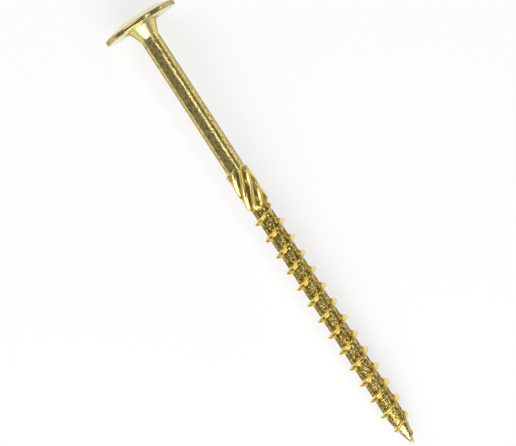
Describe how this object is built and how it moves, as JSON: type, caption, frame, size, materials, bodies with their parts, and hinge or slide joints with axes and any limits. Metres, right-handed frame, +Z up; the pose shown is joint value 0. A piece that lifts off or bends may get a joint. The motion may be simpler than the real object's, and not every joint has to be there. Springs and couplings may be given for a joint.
{
  "type": "washer head wood screw",
  "caption": "Wood screw with a wide flat washer head, six-lobe drive recess, smooth shank, ribbed reamer and coarse right-hand thread that runs out on a sharp point.",
  "frame": {"origin": "on the surface that the screw lies on, below the middle of its bounding box", "axes": "+X from the head towards the point, along the lying screw, +Z up"},
  "size_m": [0.143, 0.0222, 0.0222],
  "materials": {
    "yellow_zinc": "bright yellow zinc plating on steel"
  },
  "bodies": {
    "root": {"screw": "yellow_zinc"}
  },
  "joints": []
}
